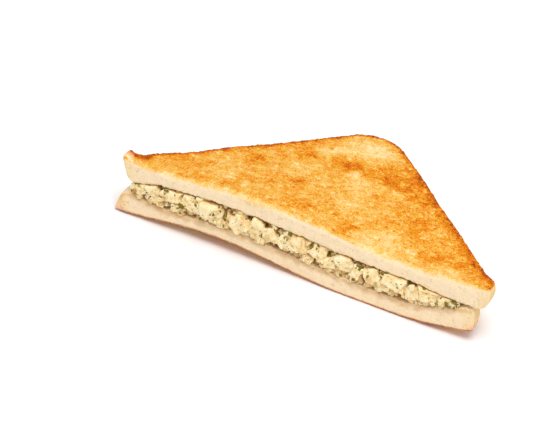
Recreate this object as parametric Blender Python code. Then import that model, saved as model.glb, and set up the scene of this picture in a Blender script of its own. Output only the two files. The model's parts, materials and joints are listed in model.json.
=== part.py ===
"""Half of a toasted chicken sandwich: two thin slices of toasted white bread round a chicken filling.

The sandwich was cut from corner to corner, so each slice is half of a rounded square. +X runs along the cut,
+Y from the cut back to the slice's whole corner and +Z up. The origin is the middle of the base.
Lengths are in metres.
"""

import math
import random

import bmesh
import bpy
from mathutils import Euler, Vector, noise

MM = 0.001

# The slices seen from above: the knife left a blunt nose at each end of the cut
SLICE_SIDE = 111.4 * MM
BOTTOM_SIDE = 110.2 * MM
BACK_CORNER_RADIUS = 14.4 * MM
NOSE_CUTOFF = 7.0 * MM  # how much the nose takes off the sharp tip
NOSE_RADIUS = 3.6 * MM  # from the nose to the leg
CUT_CORNER_RADIUS = 0.9 * MM  # where the knife leaves the crust
CRUST_WAVE = 0.5 * MM
CRUST_WAVE_LENGTH = 17 * MM
TOP_SHIFT = Vector((-0.3 * MM, 0))
BOTTOM_SHIFT = Vector((-3.1 * MM, 0))  # the lower slice lies a little to the left

# Bulges of the crust: (x, y, reach, how far out)
CRUST_BULGES = (
    (-13 * MM, 67 * MM, 12 * MM, 1.4 * MM),
    (-60 * MM, 17 * MM, 15 * MM, -1.2 * MM),
    (64 * MM, 14 * MM, 13 * MM, -0.5 * MM),
)

# Heights at the back, where the sandwich is flat
TOP_HEIGHT = 22.4 * MM
SEAM_HEIGHT = 11.0 * MM
TOP_DOME = 0.5 * MM
DOME_REACH = 22 * MM
SURFACE_WAVE = 0.3 * MM
SURFACE_WAVE_LENGTH = 19 * MM

# Along the cut each face swells and sinks: (where along the cut, half width, height)
TOP_SWELLS = ((-17 * MM, 24 * MM, 2.8 * MM), (42 * MM, 17 * MM, -1.5 * MM), (77 * MM, 9 * MM, 2.4 * MM))
SEAM_SWELLS = ((-27 * MM, 35 * MM, 3.1 * MM), (72 * MM, 17 * MM, 3.4 * MM))
BASE_SWELLS = ((-33 * MM, 32 * MM, 4.6 * MM), (90 * MM, 31 * MM, 8.3 * MM))
BASE_REST = 0.45 * MM  # the base lies flat where it would rise less than this
SWELL_DEPTH = 40 * MM  # they die out this far behind the cut
NUB_HEIGHT = 3.4 * MM  # a crust corner that stands up at the left tip
NUB_PLACE = Vector((-72.9 * MM, 3.6 * MM))
NUB_REACH = 2.9 * MM

# How far each nose leans out with height: (left, right)
TOP_LEAN = (0.3, 0.0)
BOTTOM_LEAN = (-0.3, -0.2)
LEAN_FROM, LEAN_TO = 62 * MM, 74 * MM

# The gap between the slices opens with the distance from each crust
CLOSED_GAP = 0.7 * MM
OPEN_GAP = 9.5 * MM
LEFT_GAP_FROM, LEFT_GAP_TO = -2 * MM, 17 * MM
RIGHT_GAP_FROM, RIGHT_GAP_TO = 6 * MM, 27 * MM

# Edge radii
OUTER_CRUST_EDGE = 2.2 * MM
TOP_CUT_EDGE = 1.5 * MM
BASE_CUT_EDGE = 0.9 * MM
INNER_EDGE = 0.5 * MM
TOP_ROUNDING = (4.6 * MM, 4.0 * MM)  # how a slice's inner face curves away towards its left and right crust
BOTTOM_ROUNDING = (4.6 * MM, 2.2 * MM)
ROUNDING_BLEND = 25 * MM
CRUST_BELLY = 0.4 * MM
CRUST_BLEND = 3 * MM
NOSE_BLEND_FROM, NOSE_BLEND_TO = 48 * MM, 68 * MM

# The filling
FILLING_CLEARANCE = 0.35 * MM  # to each slice
FILLING_INSET = 8.4 * MM  # from the crusts
FILLING_SHIFT = -4.2 * MM  # it nearly reaches the left crust
FILLING_RECESS = 1.3 * MM  # behind the cut
FILLING_EDGE = 0.6 * MM
PIECE_REACH = 0.8 * MM  # how far a piece may stand out of the cut
PIECE_SIZES = (5.2 * MM, 8.6 * MM)
PIECE_COVER = 0.12 * MM  # pieces stay this far inside the core's own top and bottom
PIECES_FROM, PIECES_TO = -66 * MM, 62 * MM
PIECE_SEED = 23

CUT_STEPS, LEG_STEPS, BACK_STEPS, NOSE_STEPS, FILLET_STEPS = 34, 16, 8, 3, 2
EDGE_STEPS = 3
INNER_RINGS = (0.985, 0.965, 0.935, 0.88, 0.78, 0.64, 0.46, 0.24)
OUTER_RINGS = (0.975, 0.93, 0.84, 0.7, 0.5, 0.27)
CORE_RINGS = (0.93, 0.84, 0.72, 0.56, 0.36)


def smooth_step(start, end, value):
    """0 before start, 1 past end and a soft rise between them."""
    share = min(1.0, max(0.0, (value - start) / (end - start)))
    return share * share * (3 - 2 * share)


def crust_distances(x, y):
    """How far (x, y) lies inside the left and the right crust."""
    half_diagonal = SLICE_SIDE / math.sqrt(2)
    left = (half_diagonal + x - y) / math.sqrt(2)
    right = (half_diagonal - x - y) / math.sqrt(2)
    return left, right


def swell(x, y, swells):
    """How much a face rises at (x, y): in full at the cut and less towards the back."""
    along = sum(height * math.exp(-(((x - place) / half_width) ** 2)) for place, half_width, height in swells)
    return along * (1 - smooth_step(0, SWELL_DEPTH, y))


def gap(x, y):
    """The height between the slices."""
    left, right = crust_distances(x, y)
    opened = smooth_step(LEFT_GAP_FROM, LEFT_GAP_TO, left) * smooth_step(RIGHT_GAP_FROM, RIGHT_GAP_TO, right)
    return CLOSED_GAP + (OPEN_GAP - CLOSED_GAP) * opened


def seam_height(x, y):
    return SEAM_HEIGHT + swell(x, y, SEAM_SWELLS)


def base_height(x, y):
    return max(0.0, swell(x, y, BASE_SWELLS) - BASE_REST)


def lower_inner_height(x, y):
    return seam_height(x, y) - gap(x, y) / 2


def upper_inner_height(x, y):
    return seam_height(x, y) + gap(x, y) / 2


def top_height(x, y):
    dome = TOP_DOME * smooth_step(0, DOME_REACH, min(crust_distances(x, y)))
    nub = NUB_HEIGHT * math.exp(-(((Vector((x, y)) - NUB_PLACE).length / NUB_REACH) ** 2))
    ripple = SURFACE_WAVE * noise.noise(Vector((x / SURFACE_WAVE_LENGTH, y / SURFACE_WAVE_LENGTH, 3)))
    return TOP_HEIGHT + swell(x, y, TOP_SWELLS) + dome + nub + ripple


def arc(centre, radius, start, end, steps):
    """Points on an arc from start to end degrees, without the last one."""
    angles = [math.radians(start + (end - start) * i / steps) for i in range(steps)]
    return [centre + radius * Vector((math.cos(a), math.sin(a))) for a in angles]


def straight(start, end, steps):
    return [start.lerp(end, i / steps) for i in range(steps)]


def crowded_straight(start, end, steps):
    """Points on a line, closer together towards its ends."""
    return [start.lerp(end, 0.5 - 0.5 * math.cos(math.pi * i / steps)) for i in range(steps)]


def cut_outline(side, back_radius, cut_y=0.0):
    """The half slice's outline anticlockwise from the cut's left end, with the cut along y = cut_y."""
    half_diagonal = side / math.sqrt(2)
    nose_x = half_diagonal - NOSE_CUTOFF
    fillet = CUT_CORNER_RADIUS
    fillet_x = nose_x - fillet
    nose_head = NOSE_CUTOFF - NOSE_RADIUS * math.tan(math.radians(22.5))
    nose_middle = Vector((nose_x - NOSE_RADIUS, nose_head))
    leg_foot = nose_middle + Vector((NOSE_RADIUS, NOSE_RADIUS)) / math.sqrt(2)
    back_middle = Vector((0, half_diagonal - back_radius * math.sqrt(2)))
    leg_head = back_middle + Vector((back_radius, back_radius)) / math.sqrt(2)

    def mirrored(point):
        return Vector((-point.x, point.y))

    points = crowded_straight(Vector((-fillet_x, cut_y)), Vector((fillet_x, cut_y)), CUT_STEPS)
    points += arc(Vector((fillet_x, cut_y + fillet)), fillet, -90, 0, FILLET_STEPS)
    points += straight(Vector((nose_x, cut_y + fillet)), Vector((nose_x, nose_head)), 1)
    points += arc(nose_middle, NOSE_RADIUS, 0, 45, NOSE_STEPS)
    points += straight(leg_foot, leg_head, LEG_STEPS)
    points += arc(back_middle, back_radius, 45, 135, BACK_STEPS)
    points += straight(mirrored(leg_head), mirrored(leg_foot), LEG_STEPS)
    points += arc(mirrored(nose_middle), NOSE_RADIUS, 135, 180, NOSE_STEPS)
    points += straight(Vector((-nose_x, nose_head)), Vector((-nose_x, cut_y + fillet)), 1)
    points += arc(Vector((-fillet_x, cut_y + fillet)), fillet, 180, 270, FILLET_STEPS)
    return points


def outward_normals(points):
    normals = []
    for i, _ in enumerate(points):
        along = points[(i + 1) % len(points)] - points[i - 1]
        normals.append(Vector((along.y, -along.x)).normalized())
    return normals


def baked_outline(side, layer):
    """A slice's outline with the loaf's bulges and its slightly wavy crust."""
    points = cut_outline(side, BACK_CORNER_RADIUS)
    uneven = []
    for point, normal in zip(points, outward_normals(points)):
        crust = smooth_step(0, CRUST_BLEND, point.y)
        out = CRUST_WAVE * noise.noise(Vector((*(point / CRUST_WAVE_LENGTH), layer)))
        for x, y, reach, amount in CRUST_BULGES:
            out += amount * math.exp(-(((point - Vector((x, y))).length / reach) ** 2))
        uneven.append(point + normal * crust * out)
    return uneven


def crust_distance(place, outline):
    """How far a place lies from the outline, leaving out the cut."""
    nearest = math.inf
    for start, end in zip(outline[CUT_STEPS + FILLET_STEPS:], outline[CUT_STEPS + FILLET_STEPS + 1:]):
        side = end - start
        share = min(1.0, max(0.0, (place - start).dot(side) / side.length_squared))
        nearest = min(nearest, (place - start - side * share).length)
    return nearest


def curved_off(distance, radius):
    """How far a face has curved away at this distance from its crust."""
    left = radius - min(distance, radius)
    return radius - math.sqrt(max(0.0, radius * radius - left * left))


def inset_reaches(outline, middle):
    """How far each side of the outline lies from the middle, evened out towards the noses."""
    reaches = []
    for point, normal in zip(outline, outward_normals(outline)):
        side = (point - middle).dot(normal)
        nose = abs(point.x - middle.x)
        reaches.append(side + (nose - side) * smooth_step(NOSE_BLEND_FROM, NOSE_BLEND_TO, nose))
    return reaches


def slab_mesh(name, outline, height_above, height_below, edge_above, edge_below, belly, rings_above, rings_below,
              rounding_above=(0.0, 0.0), rounding_below=(0.0, 0.0)):
    """A closed slab between two height functions, with rounded edges.

    Each edge radius and the belly are functions of an outline point. Rings of points run in from the outline
    towards the middle, where each face ends in a fan. A rounding curves a whole face away towards the crust,
    with a radius on the left and another on the right.
    """
    middle = Vector((sum(p.x for p in outline), sum(p.y for p in outline))) / len(outline)
    reaches = inset_reaches(outline, middle)
    work = bmesh.new()

    def rounding(place, radii):
        left, right = radii
        radius = left + (right - left) * smooth_step(-ROUNDING_BLEND, ROUNDING_BLEND, place.x)
        return curved_off(crust_distance(place, outline), radius)

    def above(place):
        return height_above(*place) - rounding(place, rounding_above)

    def below(place):
        return height_below(*place) + rounding(place, rounding_below)

    def moved_in(i, inset):
        return outline[i] + (middle - outline[i]) * (inset / reaches[i])

    def ring(places, heights):
        return [work.verts.new((p.x, p.y, z)) for p, z in zip(places, heights)]

    def edge_rings(radius_of, height_of, side):
        """From the wall to the face; side is +1 above and -1 below."""
        made = []
        for step in range(EDGE_STEPS + 1):
            turn = math.radians(90 * step / EDGE_STEPS)
            places, heights = [], []
            for i, point in enumerate(outline):
                radius = radius_of(point)
                place = moved_in(i, radius * (1 - math.cos(turn)))
                places.append(place)
                heights.append(height_of(place) - side * radius * (1 - math.sin(turn)))
            made.append(ring(places, heights))
        return made

    def face_rings(last, height_of, shares):
        made = []
        for share in shares:
            places = [middle + (v.co.xy - middle) * share for v in last]
            made.append(ring(places, [height_of(p) for p in places]))
        return made

    def belly_ring():
        places = [moved_in(i, -belly(point)) for i, point in enumerate(outline)]
        return ring(places, [(above(p) + below(p)) / 2 for p in places])

    upper_edge = edge_rings(edge_above, above, 1)
    lower_edge = edge_rings(edge_below, below, -1)
    upper_face = face_rings(upper_edge[-1], above, rings_above)
    lower_face = face_rings(lower_edge[-1], below, rings_below)
    rings = upper_face[::-1] + upper_edge[::-1] + [belly_ring()] + lower_edge + lower_face
    count = len(outline)
    for inner, outer in zip(rings, rings[1:]):
        for i in range(count):
            j = (i + 1) % count
            work.faces.new((inner[j], inner[i], outer[i], outer[j]))
    for last, height_of, upward in ((rings[0], above, True), (rings[-1], below, False)):
        pole = work.verts.new((middle.x, middle.y, height_of(middle)))
        for i in range(count):
            j = (i + 1) % count
            work.faces.new((last[i], last[j], pole) if upward else (last[j], last[i], pole))
    bmesh.ops.triangulate(work, faces=work.faces)
    mesh = bpy.data.meshes.new(name)
    work.to_mesh(mesh)
    work.free()
    return mesh


def solid_from(name, mesh, material):
    mesh.materials.append(material)
    mesh.shade_smooth()
    mesh.set_sharp_from_angle(angle=math.radians(50))
    solid = bpy.data.objects.new(name, mesh)
    bpy.context.scene.collection.objects.link(solid)
    return solid


def plain_material(name, colour, roughness):
    material = bpy.data.materials.new(name)
    material.use_nodes = True
    shader = material.node_tree.nodes["Principled BSDF"]
    shader.inputs["Base Color"].default_value = (*colour, 1)
    shader.inputs["Roughness"].default_value = roughness
    shader.inputs["Metallic"].default_value = 0
    return material


def crust_mix(on_cut, on_crust):
    """A size that is on_cut along the cut and on_crust round the rest."""
    return lambda point: on_cut + (on_crust - on_cut) * smooth_step(0, CRUST_BLEND, point.y)


def lean_noses(mesh, leans):
    """Moves the left and the right nose out with height, or in where its lean is negative."""
    middle = sum(v.co.z for v in mesh.vertices) / len(mesh.vertices)
    for vertex in mesh.vertices:
        side = -1 if vertex.co.x < 0 else 1
        lean = leans[0] if side < 0 else leans[1]
        share = smooth_step(LEAN_FROM, LEAN_TO, abs(vertex.co.x))
        vertex.co.x += side * lean * share * (vertex.co.z - middle)


def top_slice(material):
    outline = [point + TOP_SHIFT for point in baked_outline(SLICE_SIDE, 1)]
    mesh = slab_mesh(
        "top_slice", outline, top_height, upper_inner_height,
        crust_mix(TOP_CUT_EDGE, OUTER_CRUST_EDGE), crust_mix(INNER_EDGE, INNER_EDGE),
        crust_mix(0, CRUST_BELLY), OUTER_RINGS, INNER_RINGS, rounding_below=TOP_ROUNDING)
    lean_noses(mesh, TOP_LEAN)
    return solid_from("top_slice", mesh, material)


def bottom_slice(material):
    outline = [point + BOTTOM_SHIFT for point in baked_outline(BOTTOM_SIDE, 2)]
    mesh = slab_mesh(
        "bottom_slice", outline, lower_inner_height, base_height,
        crust_mix(INNER_EDGE, INNER_EDGE), crust_mix(BASE_CUT_EDGE, OUTER_CRUST_EDGE),
        crust_mix(0, CRUST_BELLY), INNER_RINGS, OUTER_RINGS, rounding_above=BOTTOM_ROUNDING)
    lean_noses(mesh, BOTTOM_LEAN)
    return solid_from("bottom_slice", mesh, material)


def filling_top(x, y):
    return upper_inner_height(x, y) - FILLING_CLEARANCE


def filling_bottom(x, y):
    return lower_inner_height(x, y) + FILLING_CLEARANCE


def filling_core(material):
    side = SLICE_SIDE - 2 * FILLING_INSET
    outline = cut_outline(side, BACK_CORNER_RADIUS, FILLING_RECESS)
    outline = [point + Vector((FILLING_SHIFT, 0)) for point in outline]

    def edge(point):
        return min(FILLING_EDGE, 0.35 * (filling_top(*point) - filling_bottom(*point)))

    mesh = slab_mesh(
        "chicken_filling", outline, filling_top, filling_bottom, edge, edge, lambda _point: 0.0,
        CORE_RINGS, CORE_RINGS)
    return solid_from("chicken_filling", mesh, material)


def piece_places(draw):
    """Where the pieces of meat show along the cut: (x, y, height, size), a whole one or two above each other."""
    places = []
    x = PIECES_FROM
    while x < PIECES_TO:
        room = filling_top(x, 0) - filling_bottom(x, 0)
        low = filling_bottom(x, 0)
        size = min(draw.uniform(*PIECE_SIZES), room)
        if room < 1.35 * size or draw.random() < 0.45:
            places.append((x, size * draw.uniform(0.3, 0.45), low + room * draw.uniform(0.42, 0.6), size))
            x += size * draw.uniform(0.72, 0.9)
        else:
            small = room * draw.uniform(0.5, 0.62)
            shift = small * draw.uniform(-0.3, 0.3)
            places.append((x, small * draw.uniform(0.2, 0.4), low + room * 0.74, small))
            places.append((x + shift, small * draw.uniform(0.3, 0.6), low + room * 0.28, small * 0.95))
            x += small * draw.uniform(0.85, 1.05)
    return places


def meat_piece(draw, x, y, z, size, material):
    """A diced piece of meat: the hull of a cube's pushed-in corners and its raised faces, kept between the slices."""
    half = Vector((size * draw.uniform(0.48, 0.66), size * draw.uniform(0.45, 0.6), size * draw.uniform(0.44, 0.56)))
    turn = Euler([draw.uniform(-0.6, 0.6) for _ in range(3)]).to_matrix()
    corners = [Vector((i, j, k)) * draw.uniform(0.6, 0.78) for i in (-1, 1) for j in (-1, 1) for k in (-1, 1)]
    faces = [Vector(axis) * side * draw.uniform(0.9, 1.0)
             for axis in ((1, 0, 0), (0, 1, 0), (0, 0, 1)) for side in (-1, 1)]
    work = bmesh.new()
    for point in corners + faces:
        place = turn @ Vector((point.x * half.x, point.y * half.y, point.z * half.z)) + Vector((x, y, z))
        place.y = max(place.y, -PIECE_REACH)
        floor = filling_bottom(place.x, place.y) + PIECE_COVER
        ceiling = filling_top(place.x, place.y) - PIECE_COVER
        place.z = min(max(place.z, floor), ceiling)
        work.verts.new(place)
    hull = bmesh.ops.convex_hull(work, input=work.verts)
    bmesh.ops.delete(work, geom=list({*hull["geom_interior"], *hull["geom_unused"]}), context="VERTS")
    bmesh.ops.recalc_face_normals(work, faces=work.faces)
    mesh = bpy.data.meshes.new("meat_piece")
    work.to_mesh(mesh)
    work.free()
    return solid_from("meat_piece", mesh, material)


def chicken_filling(material):
    """The filling's core with the pieces of meat that show at the cut joined on."""
    core = filling_core(material)
    pieces = bpy.data.collections.new("pieces")
    bpy.context.scene.collection.children.link(pieces)
    draw = random.Random(PIECE_SEED)
    for place in piece_places(draw):
        piece = meat_piece(draw, *place, material)
        bpy.context.scene.collection.objects.unlink(piece)
        pieces.objects.link(piece)
    join = core.modifiers.new("join", "BOOLEAN")
    join.operation = "UNION"
    join.operand_type = "COLLECTION"
    join.collection = pieces
    join.solver = "EXACT"
    bpy.context.view_layer.objects.active = core
    bpy.ops.object.modifier_apply(modifier="join")
    for piece in list(pieces.objects):
        bpy.data.objects.remove(piece)
    bpy.data.collections.remove(pieces)
    return core


def centre_on_base(solids):
    """Moves the meshes so that the origin is the middle of the whole's base."""
    points = [v.co for solid in solids for v in solid.data.vertices]
    low = Vector([min(p[i] for p in points) for i in range(3)])
    high = Vector([max(p[i] for p in points) for i in range(3)])
    base = Vector(((low.x + high.x) / 2, (low.y + high.y) / 2, low.z))
    for solid in solids:
        for vertex in solid.data.vertices:
            vertex.co -= base


def main():
    for old in list(bpy.data.objects):
        bpy.data.objects.remove(old)
    toast = plain_material("toasted_bread", (0.79, 0.47, 0.15), 0.75)
    meat = plain_material("chicken_filling", (0.82, 0.73, 0.45), 0.55)
    centre_on_base([top_slice(toast), bottom_slice(toast), chicken_filling(meat)])


main()
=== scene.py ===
import json
import math
import random
from functools import partial

import bpy
from mathutils import Euler, Matrix, Quaternion, Vector, noise
from mathutils.bvhtree import BVHTree
from mathutils.kdtree import KDTree

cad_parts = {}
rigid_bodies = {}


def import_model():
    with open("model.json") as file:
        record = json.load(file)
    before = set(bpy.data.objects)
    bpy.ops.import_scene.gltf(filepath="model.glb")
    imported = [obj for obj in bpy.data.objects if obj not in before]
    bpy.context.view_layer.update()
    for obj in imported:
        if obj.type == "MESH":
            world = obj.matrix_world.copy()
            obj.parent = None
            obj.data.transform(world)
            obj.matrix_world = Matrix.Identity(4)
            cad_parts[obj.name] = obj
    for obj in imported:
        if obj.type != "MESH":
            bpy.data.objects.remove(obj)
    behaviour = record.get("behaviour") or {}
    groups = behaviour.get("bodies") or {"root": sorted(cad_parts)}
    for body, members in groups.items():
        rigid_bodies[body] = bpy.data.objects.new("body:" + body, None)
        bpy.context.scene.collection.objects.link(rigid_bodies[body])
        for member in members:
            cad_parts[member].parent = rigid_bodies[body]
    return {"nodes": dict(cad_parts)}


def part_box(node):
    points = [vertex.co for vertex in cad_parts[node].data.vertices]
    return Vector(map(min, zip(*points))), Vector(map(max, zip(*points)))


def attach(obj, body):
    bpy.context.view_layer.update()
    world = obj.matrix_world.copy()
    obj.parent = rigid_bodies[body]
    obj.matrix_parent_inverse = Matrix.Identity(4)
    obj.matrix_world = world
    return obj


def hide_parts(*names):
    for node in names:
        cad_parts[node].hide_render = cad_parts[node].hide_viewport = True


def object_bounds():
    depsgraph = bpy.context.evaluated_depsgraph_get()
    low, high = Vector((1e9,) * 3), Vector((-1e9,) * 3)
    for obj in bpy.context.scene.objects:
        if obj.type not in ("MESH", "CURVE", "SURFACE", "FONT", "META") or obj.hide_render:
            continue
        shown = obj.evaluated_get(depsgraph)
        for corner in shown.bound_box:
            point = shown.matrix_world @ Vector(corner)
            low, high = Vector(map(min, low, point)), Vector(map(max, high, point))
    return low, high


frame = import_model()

# Half a toasted chicken sandwich: x runs along the cut, y back from it and z up. Lengths are in metres,
# or in mm where a note says so.
mm = 0.001
cadBounds = [list(corner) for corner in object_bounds()]
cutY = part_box("top_slice")[0].y  # the knife's plane
straightIn = Vector((0, 1, 0))  # the way into the cut


def linearColour(hexCode):
    channels = [int(hexCode[i:i + 2], 16) / 255 for i in (1, 3, 5)]
    return [c / 12.92 if c <= 0.04045 else ((c + 0.055) / 1.055) ** 2.4 for c in channels] + [1.0]


def softStep(start, end, value):
    share = min(1.0, max(0.0, (value - start) / (end - start)))
    return share * share * (3 - 2 * share)


def between(ends, share):
    return ends[0] + (ends[1] - ends[0]) * share


def nearness(x, y, middleX, middleY, reach):
    # 1 in the middle of a soft round patch, and about a third at its reach
    return math.exp(-((x - middleX) ** 2 + (y - middleY) ** 2) / reach ** 2)


def wobble(x, y, size, layer):
    # smooth noise from about -1 to 1, another one on each layer
    return noise.noise(Vector((x / size, y / size, layer)))


def selectOnly(piece):
    for other in bpy.context.scene.objects:
        other.select_set(False)
    piece.select_set(True)
    bpy.context.view_layer.objects.active = piece


def finishWith(piece, kind, **settings):
    modifier = piece.modifiers.new(kind.lower(), kind)
    for name, value in settings.items():
        setattr(modifier, name, value)
    selectOnly(piece)
    bpy.ops.object.modifier_apply(modifier=modifier.name)


def newPiece(name, mesh):
    piece = bpy.data.objects.new(name, mesh)
    bpy.context.scene.collection.objects.link(piece)
    return piece


def copyOfNode(node, name):
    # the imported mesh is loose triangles, so a copy is merged before anything else
    piece = newPiece(name, frame["nodes"][node].data.copy())
    piece.data.materials.clear()
    selectOnly(piece)
    bpy.ops.object.mode_set(mode="EDIT")
    bpy.ops.mesh.select_all(action="SELECT")
    bpy.ops.mesh.remove_doubles(threshold=0.001 * mm)
    bpy.ops.object.mode_set(mode="OBJECT")
    return piece


def joinAll(parts, name):
    selectOnly(parts[0])
    for part in parts:
        part.select_set(True)
    bpy.ops.object.join()
    joined = bpy.context.object
    joined.name = joined.data.name = name
    return joined


def surfaceOf(piece):
    mesh = piece.data
    return BVHTree.FromPolygons([v.co for v in mesh.vertices], [face.vertices for face in mesh.polygons])


def keepValues(piece, name, values):
    layer = piece.data.attributes.new(name, "FLOAT", "POINT")
    layer.data.foreach_set("value", values)


def pointsOf(piece):
    return [(v.co.copy(), v.normal.copy()) for v in piece.data.vertices]


def keepRelief(piece, before):
    # in mm, how far each point has moved out of or into the surface
    heights = [(v.co - place).dot(normal) / mm for v, (place, normal) in zip(piece.data.vertices, before)]
    keepValues(piece, "relief", heights)


def reportPiece(piece, count=1):
    triangles = sum(len(face.vertices) - 2 for face in piece.data.polygons)
    print(f"{piece.name}: {count} made, {triangles} triangles")


studio = {
    "floorSize": 4.0,
    "floorDrop": 0.02 * mm,  # below the sandwich
    "floorColour": "#fdfdff",
    "skyStrength": 0.62,
    "keyPower": 14.0,
    "keySize": 0.8,
    "keyPlace": Vector((0.3, -0.45, 1.4)),
    "photoTarget": Vector((-15.51, -21.2, 10.0)) * mm,
    "photoDistance": 823.8 * mm,
    "photoAzimuth": 22.95,  # degrees, as the two below
    "photoElevation": 33.32,
    "photoRoll": 7.05,  # because the half lies flat here
    "lens": 148.99,
}


def buildStudio():
    under = cadBounds[0][2] - studio["floorDrop"]
    bpy.ops.mesh.primitive_plane_add(size=studio["floorSize"], location=(0, 0, under))
    floor = bpy.context.object
    floor.name = "studio_floor"
    # Uncoated paper off a roll: matt, so that it takes a soft shadow and shows no highlight.
    paper = bpy.data.materials.new("matt paper sweep")
    paper.use_nodes = True
    shader = paper.node_tree.nodes["Principled BSDF"]
    shader.inputs["Base Color"].default_value = linearColour(studio["floorColour"])
    shader.inputs["Roughness"].default_value = 0.9
    shader.inputs["Specular IOR Level"].default_value = 0.1
    floor.data.materials.append(paper)

    world = bpy.data.worlds.new("studio")
    world.use_nodes = True
    sky = world.node_tree.nodes["Background"].inputs
    sky["Color"].default_value = (1, 1, 1, 1)
    sky["Strength"].default_value = studio["skyStrength"]
    bpy.context.scene.world = world

    bpy.ops.object.light_add(type="AREA", location=studio["keyPlace"])
    key = bpy.context.object
    key.name = "key_softbox"
    key.data.energy = studio["keyPower"]
    key.data.size = studio["keySize"]
    key.rotation_euler = (-studio["keyPlace"]).to_track_quat("-Z", "Y").to_euler()

    azimuth, elevation = math.radians(studio["photoAzimuth"]), math.radians(studio["photoElevation"])
    back = Vector((math.sin(azimuth) * math.cos(elevation), -math.cos(azimuth) * math.cos(elevation),
                   math.sin(elevation)))
    bpy.ops.object.camera_add(location=studio["photoTarget"] + back * studio["photoDistance"])
    camera = bpy.context.object
    camera.rotation_mode = "QUATERNION"
    roll = Quaternion((0, 0, 1), math.radians(studio["photoRoll"]))
    camera.rotation_quaternion = (-back).to_track_quat("-Z", "Y") @ roll
    camera.data.lens = studio["lens"]
    camera.data.clip_start = 0.01
    bpy.context.scene.camera = camera
    bpy.context.scene.view_settings.view_transform = "Standard"


buildStudio()
print("studio ready")


def addNode(tree, kind, inputs=None, stops=None, output=0, **settings):
    # adds a node, sets and links it, and returns one of its outputs
    node = tree.nodes.new("ShaderNode" + kind)
    for name, value in settings.items():
        setattr(node, name, value)
    if stops:
        elements = node.color_ramp.elements
        for _ in stops[2:]:
            elements.new(0.5)
        for element, (place, colour) in zip(elements, stops):
            element.position = place
            element.color = linearColour(colour)
    for name, value in (inputs or {}).items():
        if isinstance(value, bpy.types.NodeSocket):
            tree.links.new(value, node.inputs[name])
        else:
            node.inputs[name].default_value = value
    return node.outputs[output]


def newMaterial(name, surface):
    # with the function that adds nodes to it, and the place on the piece in mm
    material = bpy.data.materials.new(name)
    material.use_nodes = True
    for setting, value in surface.items():
        material.node_tree.nodes["Principled BSDF"].inputs[setting].default_value = value
    add = partial(addNode, material.node_tree)
    place = add("TexCoord", output="Object")
    return material, add, add("VectorMath", {0: place, "Scale": 1000.0}, operation="SCALE")


def linkSurface(material, sockets):
    tree = material.node_tree
    for name, socket in sockets.items():
        tree.links.new(socket, tree.nodes["Principled BSDF"].inputs[name])
    return material


breadLook = {
    # from hardly coloured to singed
    "toastStops": (
        (0.0, "#f5dda4"), (0.15, "#f2d088"), (0.3, "#efc166"), (0.45, "#ebaa3c"),
        (0.6, "#e58d10"), (0.75, "#da7303"), (0.9, "#b65407"), (1.0, "#7c3a10"),
    ),
    # how toasting varies: (size in mm, detail, roughness of the detail, how much)
    "mottling": ((7.0, 1.0, 0.5, 0.42), (2.0, 0.0, 0.5, 0.28), (0.6, 1.5, 0.7, 1.1)),
    # flecks that stayed pale or caught early: (size in mm, noise where they start and are full, how much)
    "flecks": ((3.4, 0.58, 0.7, -0.24), (2.3, 0.6, 0.72, 0.2), (1.3, 0.62, 0.74, -0.16)),
    "reliefBrowning": 0.6,  # what stands proud browns more and pits stay pale, per mm
    "hue": (0.489, 0.509),  # how far the toast's hue swings, where 0.5 is none
    "crumb": "#f7dfba",
    "clouds": (0.975, 1.025),  # the crumb's brightness, dullest and brightest
    "sawMarks": (0.9, 0.9, 6.0),  # mm, the knife's faint upright streaks
    "sawn": (0.988, 1.012),  # their brightness
    # painted shade that the crumb's pores and pits take
    "poreShade": "#e6c48f",
    "poreShare": 0.45,
    "poreSize": 0.8,  # mm
    "poreBend": 0.8,  # mm, how far the bubbles are from round
    "poreDepth": 0.3 * mm,
    "gritDepth": 0.25 * mm,
    "soakedAndShaded": "#c8954e",  # crumb that took up the sauce, and the painted shadow below the filling
    "roughness": (0.92, 0.72),  # of crumb and of toast
    "scales": {"hue": 0.6, "poreBend": 1.5, "openPores": 0.6, "clouds": 0.35, "grit": 2.6},  # per mm
}


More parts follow.
